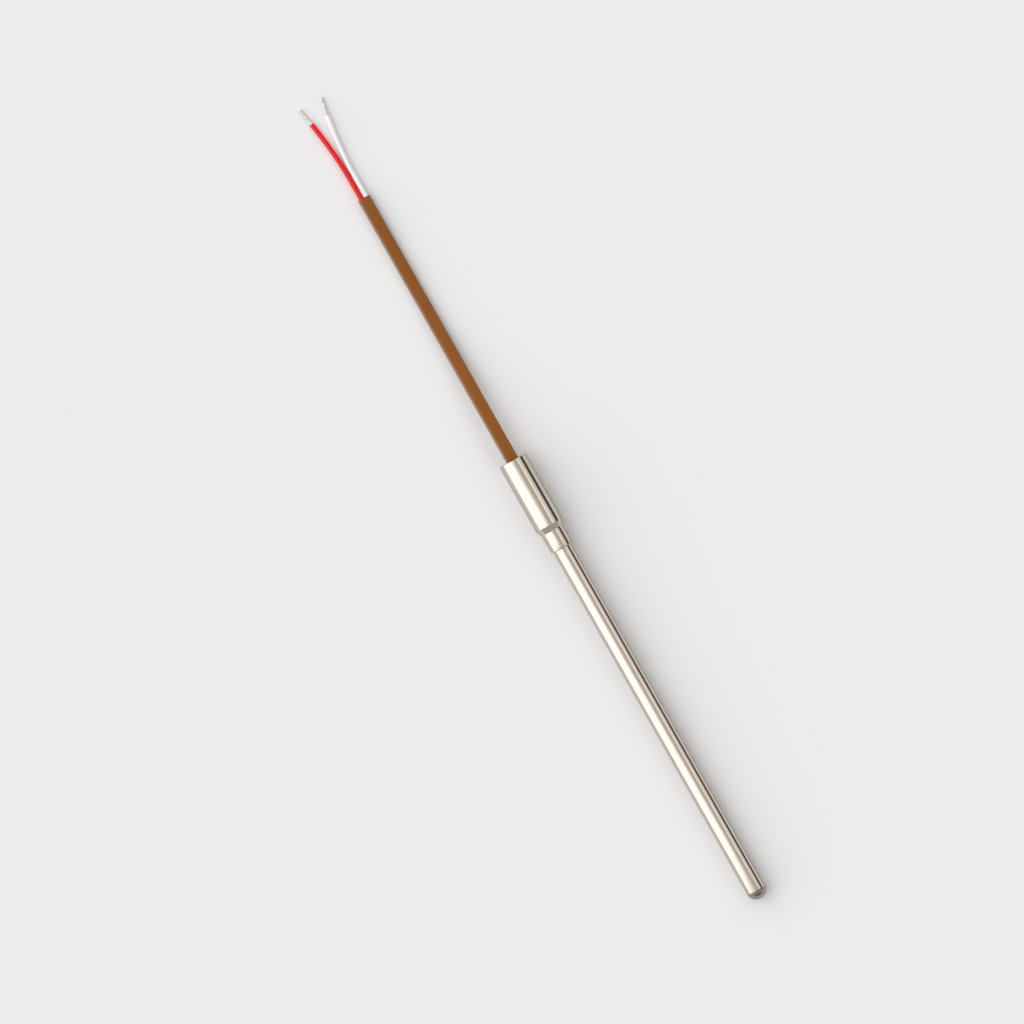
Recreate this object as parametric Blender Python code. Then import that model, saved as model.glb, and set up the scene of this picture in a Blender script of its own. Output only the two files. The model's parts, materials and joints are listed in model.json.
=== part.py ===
"""Sheathed thermocouple probe with a stepped sleeve and a flat twin cable.

The probe lies as it comes to rest, on the front edge of its sleeve's body and on the front
edge of its sheath. +X points along the probe towards the tip, +Y to the white core's side.
The probe's own pieces are modelled along its axis, with lengths counted from the sleeve's
rear face, and one empty lays them all down. All sizes are in metres.
"""

import math

import bmesh
import bpy
from mathutils import Matrix, Vector, geometry

# Clearance left all round between a piece and the piece that holds it
FIT = 0.00004

# Sheath: a drawn tube closed by a domed cap
SHEATH_DIAMETER = 0.0060
SHEATH_WALL = 0.0007
SHEATH_EXPOSED_LENGTH = 0.1200
SHEATH_GRIP_LENGTH = 0.0100
DOME_HEIGHT = 0.0025
CAP_SPIGOT_LENGTH = 0.0013
CAP_SPIGOT_CHAMFER = 0.0002
WELD_CHAMFER = 0.00012

# Transition sleeve: body, cone and collar
SLEEVE_DIAMETER = 0.0089
SLEEVE_WALL = 0.0006
SLEEVE_BODY_LENGTH = 0.0222
SLEEVE_CONE_LENGTH = 0.0018
COLLAR_DIAMETER = 0.00725
COLLAR_LENGTH = 0.0060
EDGE_BREAK = 0.00012

# Sensing element: two wires in pressed oxide, joined in a bead behind the tip
ELEMENT_DIAMETER = 0.0009
ELEMENT_PITCH = 0.0020
SEAL_LENGTH = 0.0012
PACKING_LENGTH = 0.0036
BEAD_LENGTH = 0.0018
BEAD_WIDTH = 0.0038
BEAD_THICKNESS = 0.0017
BEAD_SETBACK = 0.0020

# Crimped joints between the element wires and the cable
FERRULE_LENGTH = 0.0050
FERRULE_WALL = 0.00016
CRIMP_LENGTH = 0.0013
CRIMP_FLANK = 0.00025
CRIMP_DEPTH = 0.00007
COVER_LENGTH = 0.0058
COVER_WALL = 0.00019
SPLICE_GAP = 0.0002
POTTING_RECESS = 0.0004
MENISCUS_DEPTH = 0.0005

# Flat twin cable
JACKET_WIDTH = 0.00395
JACKET_THICKNESS = 0.0024
JACKET_CORNER_RADIUS = 0.00082
JACKET_INSERTION = 0.0080
CORE_DIAMETER = 0.0015
CORE_PITCH = 0.0017
CORE_INNER_LENGTH = 0.0023
CORE_TO_COVER = 0.0003
CONDUCTOR_DIAMETER = 0.0009
FLOOR_GAP = 0.00002

# Jacket's route: distance behind the sleeve, and share of the mouth's height that is left
JACKET_STRAIGHT_RUN = 0.003
JACKET_ROUTE = [
    (0.008, 0.985),
    (0.015, 0.90),
    (0.023, 0.70),
    (0.031, 0.44),
    (0.039, 0.20),
    (0.047, 0.05),
    (0.055, 0.0),
    (0.067, 0.0),
    (0.079, 0.0),
    (0.090, 0.0),
]

# Routes of the two cores: distance beyond the jacket, distance to the cable's middle, and
# share of the height in the jacket that is left. The last point is the end of the insulation.
RED_ROUTE = [
    (0.0050, 0.00087, 0.85),
    (0.0100, 0.00096, 0.50),
    (0.0150, 0.00129, 0.18),
    (0.0200, 0.00180, 0.03),
    (0.0267, 0.00280, 0.0),
]
WHITE_ROUTE = [
    (0.0050, 0.00086, 0.85),
    (0.0100, 0.00089, 0.50),
    (0.0150, 0.00122, 0.18),
    (0.0200, 0.00170, 0.03),
    (0.0267, 0.00262, 0.0),
]
# Free ends of the bare conductors: distance beyond the jacket, distance to the middle
RED_BARE_END = (0.0322, 0.00384)
WHITE_BARE_END = (0.0324, 0.00367)

# Sides of round pieces and steps of round shapes
OUTER_SIDES = 48
BORE_SIDES = 24
WIRE_SIDES = 12
DOME_STEPS = 10
CORNER_STEPS = 4
MENISCUS_STEPS = 4
BEAD_SIDES = 24
BEAD_RINGS = 12
ROUTE_STEPS = 2
SMOOTH_ANGLE = math.radians(35)

# Finishes: base colour, roughness, metallic
STEEL = ((0.62, 0.60, 0.57), 0.22, 1.0)
OXIDE = ((0.86, 0.85, 0.80), 0.9, 0.0)
IRON = ((0.36, 0.35, 0.34), 0.4, 1.0)
CONSTANTAN = ((0.58, 0.50, 0.42), 0.4, 1.0)
WELD_METAL = ((0.40, 0.38, 0.36), 0.5, 1.0)
SEALING_RESIN = ((0.20, 0.10, 0.05), 0.5, 0.0)
POTTING_RESIN = ((0.035, 0.035, 0.04), 0.45, 0.0)
TINNED_COPPER = ((0.75, 0.73, 0.70), 0.35, 1.0)
CLEAR_WHITE_PLASTIC = ((0.80, 0.80, 0.76), 0.5, 0.0)
BROWN_PLASTIC = ((0.28, 0.10, 0.022), 0.45, 0.0)
RED_PLASTIC = ((0.78, 0.02, 0.03), 0.4, 0.0)
WHITE_PLASTIC = ((0.88, 0.88, 0.88), 0.4, 0.0)

# Radii and stations along the axis that follow from the sizes above
SHEATH_RADIUS = SHEATH_DIAMETER / 2
SHEATH_BORE_RADIUS = SHEATH_RADIUS - SHEATH_WALL
FILL_RADIUS = SHEATH_BORE_RADIUS - FIT
SLEEVE_RADIUS = SLEEVE_DIAMETER / 2
SLEEVE_BORE_RADIUS = SLEEVE_RADIUS - SLEEVE_WALL
COLLAR_RADIUS = COLLAR_DIAMETER / 2
COLLAR_BORE_RADIUS = SHEATH_RADIUS + FIT
ELEMENT_RADIUS = ELEMENT_DIAMETER / 2
CONDUCTOR_RADIUS = CONDUCTOR_DIAMETER / 2
CORE_RADIUS = CORE_DIAMETER / 2
WIRE_BORE_RADIUS = max(ELEMENT_RADIUS, CONDUCTOR_RADIUS) + FIT
FERRULE_RADIUS = WIRE_BORE_RADIUS + FERRULE_WALL
COVER_RADIUS = FERRULE_RADIUS + FIT + COVER_WALL

SLEEVE_LENGTH = SLEEVE_BODY_LENGTH + SLEEVE_CONE_LENGTH + COLLAR_LENGTH
CONE_ANGLE = math.atan2(SLEEVE_RADIUS - COLLAR_RADIUS, SLEEVE_CONE_LENGTH)
INNER_CONE_START = SLEEVE_BODY_LENGTH - SLEEVE_WALL * math.tan(CONE_ANGLE / 2)
SHEATH_REAR = SLEEVE_LENGTH - SHEATH_GRIP_LENGTH
TIP = SLEEVE_LENGTH + SHEATH_EXPOSED_LENGTH
DOME_BASE = TIP - DOME_HEIGHT
SHEATH_FRONT = DOME_BASE - FIT
CAP_SPIGOT_REAR = DOME_BASE - CAP_SPIGOT_LENGTH
PACKING_FRONT = CAP_SPIGOT_REAR - FIT
PACKING_REAR = PACKING_FRONT - PACKING_LENGTH
BEAD_MIDDLE = CAP_SPIGOT_REAR - BEAD_SETBACK
CORE_INNER_END = JACKET_INSERTION + CORE_INNER_LENGTH
COVER_REAR = CORE_INNER_END + CORE_TO_COVER
COVER_FRONT = COVER_REAR + COVER_LENGTH
SPLICE = (COVER_REAR + COVER_FRONT) / 2
POTTING_FRONT = INNER_CONE_START - FIT

# Pose of the probe at rest
SHEATH_EDGE = SHEATH_FRONT - WELD_CHAMFER
REST_TILT = math.atan2(SLEEVE_RADIUS - SHEATH_RADIUS, SHEATH_EDGE - SLEEVE_BODY_LENGTH)
DOME_RADIUS = (SHEATH_RADIUS**2 + DOME_HEIGHT**2) / (2 * DOME_HEIGHT)
REACH_BACK = (SLEEVE_RADIUS - EDGE_BREAK) * math.sin(REST_TILT)
REACH_FORWARD = (TIP - DOME_RADIUS) * math.cos(REST_TILT) + DOME_RADIUS
MOUTH_X = (REACH_BACK - REACH_FORWARD) / 2
MOUTH_Z = SLEEVE_BODY_LENGTH * math.sin(REST_TILT) + SLEEVE_RADIUS * math.cos(REST_TILT)
PROBE_POSE = Matrix.Translation((MOUTH_X, 0, MOUTH_Z)) @ Matrix.Rotation(REST_TILT, 4, "Y")


def clear_scene():
    """Remove every object, so that the script can be run again."""
    for obj in list(bpy.data.objects):
        bpy.data.objects.remove(obj, do_unlink=True)


def make_material(name, finish):
    """A Principled material of the given base colour, roughness and metallic value."""
    colour, roughness, metallic = finish
    material = bpy.data.materials.new(name)
    material.use_nodes = True
    shader = material.node_tree.nodes["Principled BSDF"]
    shader.inputs["Base Color"].default_value = (*colour, 1)
    shader.inputs["Roughness"].default_value = roughness
    shader.inputs["Metallic"].default_value = metallic
    material.diffuse_color = (*colour, 1)
    return material


def add_object(name, bm, finish=None, parent=None):
    """Turn a bmesh into a named object, smooth across its gentle edges."""
    bmesh.ops.recalc_face_normals(bm, faces=bm.faces)
    mesh = bpy.data.meshes.new(name)
    bm.to_mesh(mesh)
    bm.free()
    mesh.shade_smooth()
    mesh.set_sharp_from_angle(angle=SMOOTH_ANGLE)
    obj = bpy.data.objects.new(name, mesh)
    obj.parent = parent
    bpy.context.collection.objects.link(obj)
    if finish:
        mesh.materials.append(make_material(name, finish))
    return obj


def turned(profile, sides=OUTER_SIDES):
    """Turn an outline of (distance along the axis, radius) points about the X axis.

    An outline that starts and ends on the axis stays open there, and any other is closed.
    """
    bm = bmesh.new()
    corners = [bm.verts.new((along, 0, radius)) for along, radius in profile]
    edges = [bm.edges.new(pair) for pair in zip(corners, corners[1:])]
    if profile[0][1] > 0:
        edges.append(bm.edges.new((corners[-1], corners[0])))
    bmesh.ops.spin(
        bm,
        geom=corners + edges,
        cent=(0, 0, 0),
        axis=(1, 0, 0),
        angle=2 * math.pi,
        steps=sides,
        use_merge=True,
    )
    bmesh.ops.remove_doubles(bm, verts=bm.verts, dist=1e-7)
    return bm


def circle(radius, sides=WIRE_SIDES, middle=0.0):
    """Corners of a circle as (sideways, upwards) points, the first one straight up."""
    angles = [2 * math.pi * i / sides for i in range(sides)]
    return [(middle + radius * math.sin(a), radius * math.cos(a)) for a in angles]


def jacket_outline(grow=0.0):
    """Rounded rectangle of the flat jacket, grown all round for the space that holds it."""
    radius = JACKET_CORNER_RADIUS + grow
    across = JACKET_WIDTH / 2 - JACKET_CORNER_RADIUS
    upwards = JACKET_THICKNESS / 2 - JACKET_CORNER_RADIUS
    points = []
    for quarter, (side, up) in enumerate(((1, 1), (1, -1), (-1, -1), (-1, 1))):
        for step in range(CORNER_STEPS + 1):
            angle = math.pi / 2 * (quarter + step / CORNER_STEPS)
            corner = (side * across, up * upwards)
            points.append((corner[0] + radius * math.sin(angle), corner[1] + radius * math.cos(angle)))
    return points


def frame_at(point, direction):
    """Frame at a point whose X axis follows the direction, with its Y axis kept level."""
    forward = direction.normalized()
    sideways = Vector((0, 0, 1)).cross(forward).normalized()
    upwards = forward.cross(sideways)
    return Matrix.Translation(point) @ Matrix((forward, sideways, upwards)).transposed().to_4x4()


def frames_along(points):
    """A frame at each point of a path, square to the path there."""
    before = [points[0]] + points[:-1]
    after = points[1:] + [points[-1]]
    return [frame_at(p, b - a) for p, a, b in zip(points, before, after)]


def straight(start, end, side=0.0):
    """Frames at both ends of a straight run parallel to the probe's axis."""
    return frames_along([Vector((start, side, 0)), Vector((end, side, 0))])


def smooth_curve(knots, first_direction, last_direction):
    """Points on a smooth curve through the knots, with set directions at its two ends."""
    middles = [(after - before).normalized() for before, after in zip(knots, knots[2:])]
    slopes = [first_direction.normalized(), *middles, last_direction.normalized()]
    points = []
    for i in range(len(knots) - 1):
        third = (knots[i + 1] - knots[i]).length / 3
        handles = (knots[i] + slopes[i] * third, knots[i + 1] - slopes[i + 1] * third)
        span = geometry.interpolate_bezier(knots[i], *handles, knots[i + 1], ROUTE_STEPS + 1)
        points.extend(span[:-1])
    return points + [knots[-1]]


def swept(outlines, frames):
    """Carry an outline, and any holes after it, along the frames and close both ends."""
    bm = bmesh.new()
    rims = ([], [])
    for outline in outlines:
        rows = [[bm.verts.new(frame @ Vector((0, *p))) for p in outline] for frame in frames]
        for row, following in zip(rows, rows[1:]):
            for i in range(len(outline)):
                bm.faces.new((row[i - 1], row[i], following[i], following[i - 1]))
        for rim, row in zip(rims, (rows[0], rows[-1])):
            rim.extend(bm.edges.get((row[i - 1], row[i])) for i in range(len(row)))
    for rim in rims:
        bmesh.ops.triangle_fill(bm, edges=rim, use_beauty=True)
    return bm


def ellipsoid(middle, grow=0.0):
    """The junction bead's shape, grown all round for the pocket that holds it."""
    bm = bmesh.new()
    bmesh.ops.create_uvsphere(bm, u_segments=BEAD_SIDES, v_segments=BEAD_RINGS, radius=1)
    half_sizes = [size / 2 + grow for size in (BEAD_LENGTH, BEAD_WIDTH, BEAD_THICKNESS)]
    bmesh.ops.scale(bm, vec=half_sizes, verts=bm.verts)
    bmesh.ops.translate(bm, vec=(middle, 0, 0), verts=bm.verts)
    return bm


def cut(obj, cutters):
    """Cut the cutters' shapes out of an object, and keep them out of the model."""
    for cutter in cutters:
        cutter.hide_render = True
        cutter.display_type = "WIRE"
        modifier = obj.modifiers.new(cutter.name, "BOOLEAN")
        modifier.operation = "DIFFERENCE"
        modifier.solver = "EXACT"
        modifier.object = cutter


def make_sleeve(probe):
    """Stepped sleeve of one drawn and turned piece, thin all through."""
    inner_cone_end = INNER_CONE_START + (SLEEVE_BORE_RADIUS - COLLAR_BORE_RADIUS) / math.tan(CONE_ANGLE)
    cone_end = SLEEVE_BODY_LENGTH + SLEEVE_CONE_LENGTH
    profile = [
        (0, SLEEVE_BORE_RADIUS),
        (0, SLEEVE_RADIUS - EDGE_BREAK),
        (EDGE_BREAK, SLEEVE_RADIUS),
        (SLEEVE_BODY_LENGTH, SLEEVE_RADIUS),
        (cone_end, COLLAR_RADIUS),
        (SLEEVE_LENGTH - EDGE_BREAK, COLLAR_RADIUS),
        (SLEEVE_LENGTH, COLLAR_RADIUS - EDGE_BREAK),
        (SLEEVE_LENGTH, COLLAR_BORE_RADIUS),
        (inner_cone_end, COLLAR_BORE_RADIUS),
        (INNER_CONE_START, SLEEVE_BORE_RADIUS),
    ]
    add_object("transition_sleeve", turned(profile), STEEL, probe)


def make_sheath(probe):
    """Sheath tube, held in the collar at its rear end and chamfered in front for the weld."""
    profile = [
        (SHEATH_REAR, SHEATH_BORE_RADIUS),
        (SHEATH_REAR, SHEATH_RADIUS - EDGE_BREAK),
        (SHEATH_REAR + EDGE_BREAK, SHEATH_RADIUS),
        (SHEATH_EDGE, SHEATH_RADIUS),
        (SHEATH_FRONT, SHEATH_RADIUS - WELD_CHAMFER),
        (SHEATH_FRONT, SHEATH_BORE_RADIUS),
    ]
    add_object("sheath_tube", turned(profile), STEEL, probe)


def make_tip_cap(probe):
    """Domed cap with a chamfered spigot that plugs the sheath tube, and a chamfer for the weld."""
    first_angle = math.acos((DOME_BASE + WELD_CHAMFER - TIP + DOME_RADIUS) / DOME_RADIUS)
    profile = [
        (CAP_SPIGOT_REAR, 0),
        (CAP_SPIGOT_REAR, FILL_RADIUS - CAP_SPIGOT_CHAMFER),
        (CAP_SPIGOT_REAR + CAP_SPIGOT_CHAMFER, FILL_RADIUS),
        (DOME_BASE, FILL_RADIUS),
        (DOME_BASE, SHEATH_RADIUS - WELD_CHAMFER),
    ]
    for step in range(DOME_STEPS):
        angle = first_angle * (1 - step / DOME_STEPS)
        along = TIP - DOME_RADIUS + DOME_RADIUS * math.cos(angle)
        profile.append((along, DOME_RADIUS * math.sin(angle)))
    profile.append((TIP, 0))
    add_object("tip_cap", turned(profile), STEEL, probe)


def make_oxide_body(probe):
    """Pressed oxide body with two bores, and the resin seal behind it in the same tube."""
    bores = [circle(WIRE_BORE_RADIUS, middle=side * ELEMENT_PITCH / 2) for side in (1, -1)]
    outlines = [circle(FILL_RADIUS, BORE_SIDES), *bores]
    seal_front = SHEATH_REAR + SEAL_LENGTH
    body = swept(outlines, straight(seal_front + FIT, PACKING_REAR - FIT))
    add_object("mineral_insulation", body, OXIDE, probe)
    seal = swept(outlines, straight(SHEATH_REAR, seal_front))
    add_object("end_seal", seal, SEALING_RESIN, probe)


def make_hot_junction(probe):
    """Bead that the two wires end in, and the oxide packed round it behind the tip."""
    bead = add_object("hot_junction", ellipsoid(BEAD_MIDDLE), WELD_METAL, probe)
    packing_shape = swept([circle(FILL_RADIUS, BORE_SIDES)], straight(PACKING_REAR, PACKING_FRONT))
    packing = add_object("junction_packing", packing_shape, OXIDE, probe)
    bores = []
    for name, side in (("positive", 1), ("negative", -1)):
        run = straight(PACKING_REAR - PACKING_LENGTH, BEAD_MIDDLE + FIT, side * ELEMENT_PITCH / 2)
        bores.append(add_object(f"cut_{name}_wire", swept([circle(WIRE_BORE_RADIUS)], run), parent=probe))
    pocket = add_object("cut_bead_pocket", ellipsoid(BEAD_MIDDLE, FIT), parent=probe)
    cut(bead, bores)
    cut(packing, [pocket, *bores])


def crimped_ferrule():
    """Ferrule tube, pressed in at one place over each of the two wires that it joins."""
    rear = SPLICE - FERRULE_LENGTH / 2
    front = SPLICE + FERRULE_LENGTH / 2
    profile = [(rear, WIRE_BORE_RADIUS), (rear, FERRULE_RADIUS)]
    for middle in ((rear + SPLICE) / 2, (SPLICE + front) / 2):
        profile += [
            (middle - CRIMP_LENGTH / 2, FERRULE_RADIUS),
            (middle - CRIMP_LENGTH / 2 + CRIMP_FLANK, FERRULE_RADIUS - CRIMP_DEPTH),
            (middle + CRIMP_LENGTH / 2 - CRIMP_FLANK, FERRULE_RADIUS - CRIMP_DEPTH),
            (middle + CRIMP_LENGTH / 2, FERRULE_RADIUS),
        ]
    profile += [(front, FERRULE_RADIUS), (front, WIRE_BORE_RADIUS)]
    return turned(profile, WIRE_SIDES)


def make_joint(probe, name, side, wire_finish):
    """One element wire from the bead to its crimped joint, with the ferrule and its cover."""
    offset = side * ELEMENT_PITCH / 2
    wire = swept([circle(ELEMENT_RADIUS)], straight(SPLICE + SPLICE_GAP / 2, BEAD_MIDDLE, offset))
    add_object(f"{name}_element", wire, wire_finish, probe)
    ferrule = crimped_ferrule()
    bmesh.ops.translate(ferrule, vec=(0, offset, 0), verts=ferrule.verts)
    add_object(f"{name}_ferrule", ferrule, TINNED_COPPER, probe)
    rings = [circle(COVER_RADIUS), circle(FERRULE_RADIUS + FIT)]
    cover = swept(rings, straight(COVER_REAR, COVER_FRONT, offset))
    add_object(f"{name}_joint_cover", cover, CLEAR_WHITE_PLASTIC, probe)


def sleeve_run(side):
    """Points of one lead inside the sleeve, from the jacket's end to the crimped joint."""
    joint_side = side * ELEMENT_PITCH / 2
    return [
        Vector((CORE_INNER_END, joint_side, 0)),
        Vector((COVER_REAR, joint_side, 0)),
        Vector((SPLICE - SPLICE_GAP / 2, joint_side, 0)),
    ]


def make_potting(probe):
    """Resin that fills the sleeve round the cable, the joints and the sheath's rear end."""
    radius = SLEEVE_BORE_RADIUS - FIT
    profile = [(POTTING_RECESS + MENISCUS_DEPTH, 0)]
    for step in range(1, MENISCUS_STEPS + 1):
        share = step / MENISCUS_STEPS
        profile.append((POTTING_RECESS + MENISCUS_DEPTH * (1 - share**2), radius * share))
    profile += [
        (POTTING_FRONT, radius),
        (POTTING_FRONT, COLLAR_BORE_RADIUS),
        (SHEATH_REAR - FIT, COLLAR_BORE_RADIUS),
        (SHEATH_REAR - FIT, 0),
    ]
    potting = add_object("potting_compound", turned(profile), POTTING_RESIN, probe)
    jacket_space = swept([jacket_outline(FIT)], straight(-JACKET_INSERTION, JACKET_INSERTION + FIT))
    cutters = [add_object("cut_jacket", jacket_space, parent=probe)]
    for name, side in (("positive", 1), ("negative", -1)):
        start = Vector((JACKET_INSERTION, side * CORE_PITCH / 2, 0))
        behind = start - Vector((CORE_DIAMETER, 0, 0))
        core_end, cover_rear, splice = sleeve_run(side)
        past_front = Vector((SLEEVE_LENGTH, side * ELEMENT_PITCH / 2, 0))
        core_run = frames_along([behind, start, core_end + Vector((FIT, 0, 0))])
        core = swept([circle(CORE_RADIUS + FIT)], core_run)
        wire_run = frames_along([start, core_end, cover_rear, splice, past_front])
        wire = swept([circle(WIRE_BORE_RADIUS)], wire_run)
        cover_run = straight(COVER_REAR - FIT, COVER_FRONT + FIT, side * ELEMENT_PITCH / 2)
        cover = swept([circle(COVER_RADIUS + FIT)], cover_run)
        for part, shape in (("core", core), ("lead", wire), ("cover", cover)):
            cutters.append(add_object(f"cut_{name}_{part}", shape, parent=probe))
    cut(potting, cutters)


def jacket_frames():
    """Frames along the flat jacket, from its free end to its inner end in the sleeve."""
    axis = PROBE_POSE.to_3x3() @ Vector((1, 0, 0))
    inner_end = PROBE_POSE @ Vector((JACKET_INSERTION, 0, 0))
    mouth = PROBE_POSE @ Vector((0, 0, 0))
    floor_height = JACKET_THICKNESS / 2 + FLOOR_GAP
    knots = [PROBE_POSE @ Vector((-JACKET_STRAIGHT_RUN, 0, 0))]
    for distance, share in JACKET_ROUTE:
        height = floor_height + (MOUTH_Z - floor_height) * share
        knots.append(Vector((MOUTH_X - distance, 0, height)))
    curve = smooth_curve(knots[::-1], Vector((1, 0, 0)), axis)
    return frames_along([*curve, mouth, inner_end])


def lead_frames(side, route, bare_end, jacket):
    """Frames along one lead, from its bare end through the jacket to its crimped joint."""
    in_jacket = [frame @ Vector((0, side * CORE_PITCH / 2, 0)) for frame in jacket]
    jacket_end = in_jacket[0]
    floor_height = CORE_RADIUS + FLOOR_GAP
    knots = [jacket_end]
    for distance, spread, share in route:
        height = floor_height + (jacket_end.z - floor_height) * share
        knots.append(Vector((jacket_end.x - distance, side * spread, height)))
    bare_height = CONDUCTOR_RADIUS + FLOOR_GAP
    bare_tip = Vector((jacket_end.x - bare_end[0], side * bare_end[1], bare_height))
    curve = smooth_curve(knots[::-1], knots[-1] - bare_tip, Vector((1, 0, 0)))
    in_sleeve = [PROBE_POSE @ point for point in sleeve_run(side)]
    return frames_along([bare_tip, *curve[:-1], *in_jacket, *in_sleeve])


def make_cable():
    """Flat jacket with two bores, and in each bore a core with its conductor."""
    jacket = jacket_frames()
    bores = [circle(CORE_RADIUS + FIT, middle=side * CORE_PITCH / 2) for side in (1, -1)]
    add_object("cable_jacket", swept([jacket_outline(), *bores], jacket), BROWN_PLASTIC)
    leads = (
        ("white", 1, WHITE_ROUTE, WHITE_BARE_END, WHITE_PLASTIC, IRON),
        ("red", -1, RED_ROUTE, RED_BARE_END, RED_PLASTIC, CONSTANTAN),
    )
    for name, side, route, bare_end, plastic, metal in leads:
        frames = lead_frames(side, route, bare_end, jacket)
        conductor = swept([circle(CONDUCTOR_RADIUS)], frames)
        add_object(f"{name}_conductor", conductor, metal)
        insulated = frames[1 : 1 - len(sleeve_run(side))]
        core = swept([circle(CORE_RADIUS), circle(CONDUCTOR_RADIUS + FIT)], insulated)
        add_object(f"{name}_core", core, plastic)


def main():
    """Build the probe on its empty, then the cable that leaves it."""
    clear_scene()
    probe = bpy.data.objects.new("probe_pose", None)
    bpy.context.collection.objects.link(probe)
    probe.location = PROBE_POSE.to_translation()
    probe.rotation_euler = PROBE_POSE.to_euler()
    make_sleeve(probe)
    make_sheath(probe)
    make_tip_cap(probe)
    make_oxide_body(probe)
    make_hot_junction(probe)
    make_joint(probe, "positive", 1, IRON)
    make_joint(probe, "negative", -1, CONSTANTAN)
    make_potting(probe)
    make_cable()


main()
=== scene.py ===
# %% [markdown]
# A sheathed thermocouple probe on a pale table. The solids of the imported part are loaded
# first, because they fix every size and place. The script then dresses them: smooth turned
# steel, a drawn flat cable with its two cores, twisted strands, a finish for each material,
# and a camera that looks straight down.

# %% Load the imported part
import json
import math

import bmesh
import bpy
from mathutils import Matrix, Vector, geometry


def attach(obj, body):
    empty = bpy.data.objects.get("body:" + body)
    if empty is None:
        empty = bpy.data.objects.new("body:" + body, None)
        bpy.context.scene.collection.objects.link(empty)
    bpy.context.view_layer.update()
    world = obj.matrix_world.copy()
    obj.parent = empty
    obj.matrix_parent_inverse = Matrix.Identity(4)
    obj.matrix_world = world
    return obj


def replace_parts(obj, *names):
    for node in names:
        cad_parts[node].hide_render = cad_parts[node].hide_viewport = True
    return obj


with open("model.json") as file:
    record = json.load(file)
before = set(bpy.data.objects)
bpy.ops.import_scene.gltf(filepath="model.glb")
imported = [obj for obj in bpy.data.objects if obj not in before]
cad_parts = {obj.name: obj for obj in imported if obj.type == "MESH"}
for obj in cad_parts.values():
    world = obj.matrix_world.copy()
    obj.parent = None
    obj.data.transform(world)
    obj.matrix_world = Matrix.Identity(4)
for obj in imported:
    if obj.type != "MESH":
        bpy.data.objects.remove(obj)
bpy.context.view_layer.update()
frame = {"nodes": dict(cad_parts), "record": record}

NODES = frame["nodes"]

# %% [markdown]
# The camera comes first. The picture to match shows no perspective: both edges of the sheath
# stay parallel from end to end. So the camera is orthographic, and it looks straight down on
# the probe, turned until the tip points to the lower right, 29.55 degrees from upright.

# %% Camera
IMAGE_WIDTH = 1024
PIXELS_PER_METRE = 3353.8
PROBE_LEAN = math.radians(29.55)
VIEW_CENTRE = (-0.06168, -0.00774)
CAMERA_HEIGHT = 0.5
CAMERA_REACH = (0.01, 10)


def add_camera():
    """An orthographic camera over the probe, at the scale and turn of the picture."""
    data = bpy.data.cameras.new("camera")
    data.type = "ORTHO"
    data.ortho_scale = IMAGE_WIDTH / PIXELS_PER_METRE
    data.clip_start, data.clip_end = CAMERA_REACH
    camera = bpy.data.objects.new("camera", data)
    camera.location = (*VIEW_CENTRE, CAMERA_HEIGHT)
    camera.rotation_euler = (0, 0, math.pi / 2 - PROBE_LEAN)
    bpy.context.collection.objects.link(camera)
    bpy.context.scene.camera = camera


add_camera()
print("picture width in metres:", round(IMAGE_WIDTH / PIXELS_PER_METRE, 4))

# %% [markdown]
# The probe doesn't lie level. It rests on the front edge of the sleeve's wide body and on the
# sheath's front edge, just behind the dome, so its axis slopes a little. The part's record
# holds that axis and a point of the collar's front face, the stop that meets a fitting. From
# these two, a matrix lays anything modelled along the X axis onto the real probe. Lengths
# along the axis start at the sleeve's rear face.

# %% The probe's axis
SLEEVE_LENGTH = 0.030
STOP = frame["record"]["mounts"][0]


def frame_at(point, direction):
    """A frame at a point whose X axis follows the direction, with its Y axis kept level."""
    forward = direction.normalized()
    sideways = Vector((0, 0, 1)).cross(forward).normalized()
    upwards = forward.cross(sideways)
    return Matrix.Translation(point) @ Matrix((forward, sideways, upwards)).transposed().to_4x4()


AXIS = Vector(STOP["axis"]).normalized()
STOP_CENTRE = Vector((STOP["pos_m"][0], 0, STOP["pos_m"][2]))
MOUTH = STOP_CENTRE - AXIS * SLEEVE_LENGTH
PROBE_POSE = frame_at(MOUTH, AXIS)
print("sleeve mouth:", [round(x, 5) for x in MOUTH])

# %% [markdown]
# The cable is a real cord, so its route is settled before its looks. It leaves the sleeve
# along the axis, sinks to the table under its own weight and then lies flat. The points are
# the ones that the part's own source uses: each is a distance behind the sleeve and a share
# of the mouth's height. A Bezier span between each two points makes one smooth curve.

# %% Route of the flat cable
MM = 0.001
FLOOR_GAP = 0.02 * MM
JACKET_WIDTH = 3.95 * MM
JACKET_THICKNESS = 2.4 * MM
JACKET_INSERTION = 8 * MM
JACKET_STRAIGHT_RUN = 3 * MM
JACKET_ROUTE = [
    (8 * MM, 0.985),
    (15 * MM, 0.90),
    (23 * MM, 0.70),
    (31 * MM, 0.44),
    (39 * MM, 0.20),
    (47 * MM, 0.05),
    (55 * MM, 0.0),
    (67 * MM, 0.0),
    (79 * MM, 0.0),
    (90 * MM, 0.0),
]
SPAN_STEPS = 7


def smooth_curve(knots, first_direction, last_direction):
    """Points on a smooth curve through the knots, with set directions at its two ends."""
    middles = [(after - before).normalized() for before, after in zip(knots, knots[2:])]
    slopes = [first_direction.normalized(), *middles, last_direction.normalized()]
    points = []
    for i in range(len(knots) - 1):
        third = (knots[i + 1] - knots[i]).length / 3
        leaving = knots[i] + slopes[i] * third
        arriving = knots[i + 1] - slopes[i + 1] * third
        span = geometry.interpolate_bezier(knots[i], leaving, arriving, knots[i + 1], SPAN_STEPS + 1)
        points.extend(span[:-1])
    return points + [knots[-1]]


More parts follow.
